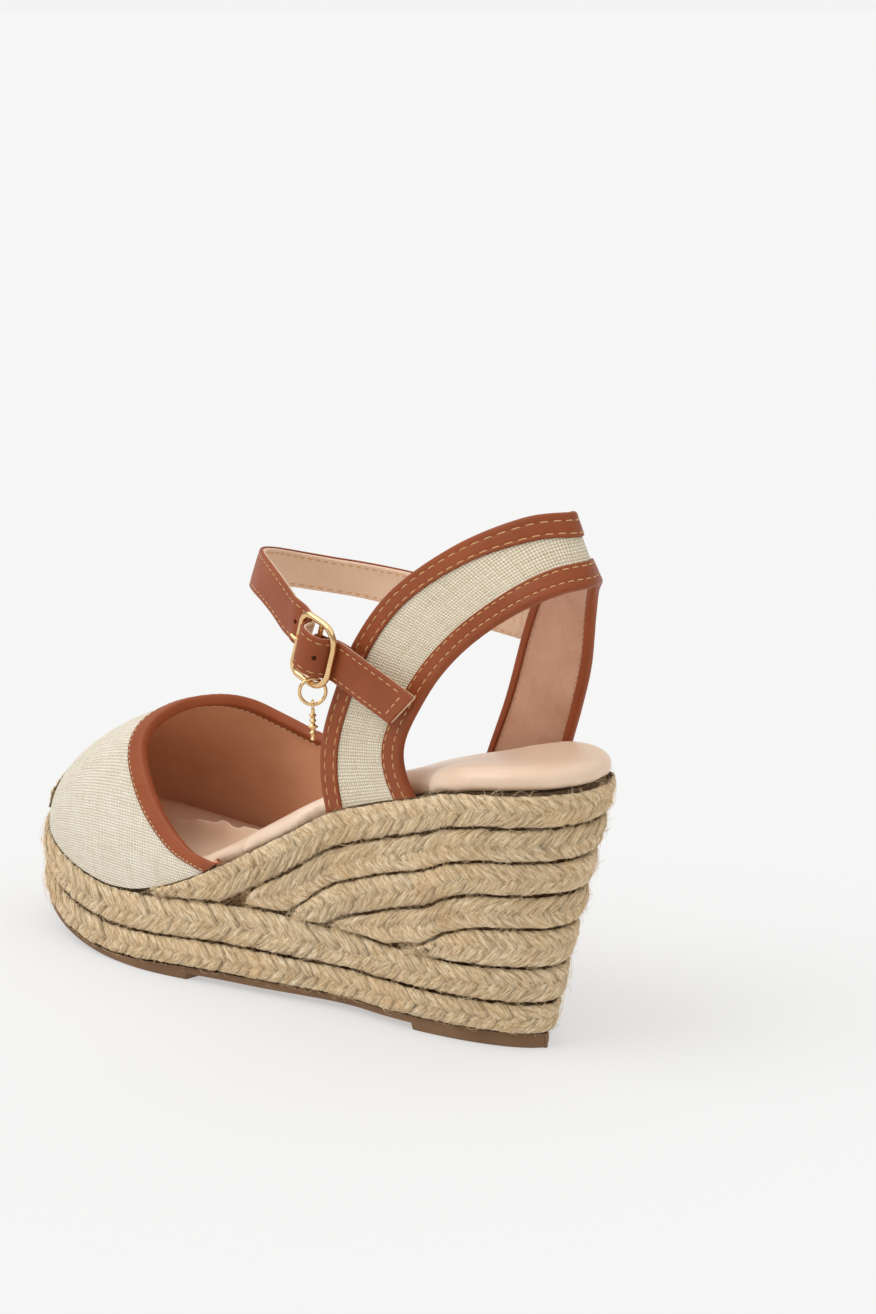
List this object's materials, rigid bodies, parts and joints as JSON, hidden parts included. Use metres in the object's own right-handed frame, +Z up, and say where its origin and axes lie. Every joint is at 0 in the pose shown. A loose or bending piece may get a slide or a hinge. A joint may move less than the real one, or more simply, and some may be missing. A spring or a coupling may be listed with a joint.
{
  "type": "wedge espadrille sandal",
  "caption": "Closed-toe wedge espadrille sandal with a canvas vamp and heel band, braided jute wedge, buckled ankle strap and a small ring charm.",
  "frame": {"origin": "under the middle of the sandal's bounding box, at ground level", "axes": "+Z up, -Y towards the toe, +Y towards the heel, +X towards the outer side of this left foot"},
  "size_m": [0.0874, 0.2625, 0.178],
  "materials": {
    "jute": "braided natural jute",
    "outsole_rubber": "matt moulded rubber",
    "wedge_filler": "pressed cork",
    "board": "fibre board",
    "footbed_leather": "smooth, soft sheen",
    "footbed_foam": "open foam",
    "canvas": "plain weave canvas",
    "tan_leather": "smooth, semi-matt",
    "brown_lining": "smooth lining",
    "pink_lining": "suede lining",
    "strap_lining": "smooth lining",
    "stiffener": "impregnated felt",
    "gold": "polished pale gold"
  },
  "bodies": {
    "shoe": {"outsole": "outsole_rubber", "platform_braid_lower": "jute", "platform_braid_upper": "jute", "wedge_braid_1": "jute", "wedge_braid_2": "jute", "wedge_braid_3": "jute", "wedge_braid_4": "jute", "wedge_braid_5": "jute", "wedge_core": "wedge_filler", "insole_board": "board", "insole_cover": "footbed_leather", "insole_foam": "footbed_foam", "vamp_canvas": "canvas", "toe_puff": "stiffener", "vamp_lining": "brown_lining", "vamp_binding": "tan_leather", "toe_bumper": "jute", "quarter_canvas": "canvas", "quarter_lining": "pink_lining", "quarter_binding_upper": "tan_leather", "quarter_binding_lower": "tan_leather", "buckle_tab": "tan_leather", "buckle_bar": "gold"},
    "ankle_strap": {"ankle_strap_outer": "tan_leather", "ankle_strap_lining": "strap_lining"},
    "buckle": {"buckle_frame": "gold"},
    "prong": {"buckle_prong": "gold"},
    "ring": {"jump_ring": "gold"},
    "pendant": {"charm": "gold"}
  },
  "joints": [
    {"name": "ankle_strap_swing", "type": "hinge", "parent": "shoe", "child": "ankle_strap", "pos_m": [-0.0329, 0.07465, 0.131], "axis": [0, 0, -1], "range_deg": [0, 60], "deforming": ["ankle_strap_outer", "ankle_strap_lining"]},
    {"name": "buckle_pivot", "type": "hinge", "parent": "shoe", "child": "buckle", "pos_m": [0.037, 0.04305, 0.1273], "axis": [0, 0.3156, 0.9489], "range_deg": [-5, 5]},
    {"name": "prong_pivot", "type": "hinge", "parent": "buckle", "child": "prong", "pos_m": [0.037, 0.04305, 0.1273], "axis": [0, 0.3156, 0.9489], "range_deg": [0, 80]},
    {"name": "ring_swing", "type": "hinge", "parent": "buckle", "child": "ring", "pos_m": [0.0378, 0.04211, 0.11623], "axis": [0, -0.9489, 0.3156], "range_deg": [-12, 45]},
    {"name": "charm_swing", "type": "hinge", "parent": "ring", "child": "pendant", "pos_m": [0.0378, 0.04211, 0.10958], "axis": [0.809, -0.5878, 0], "range_deg": [-35, 35]}
  ]
}
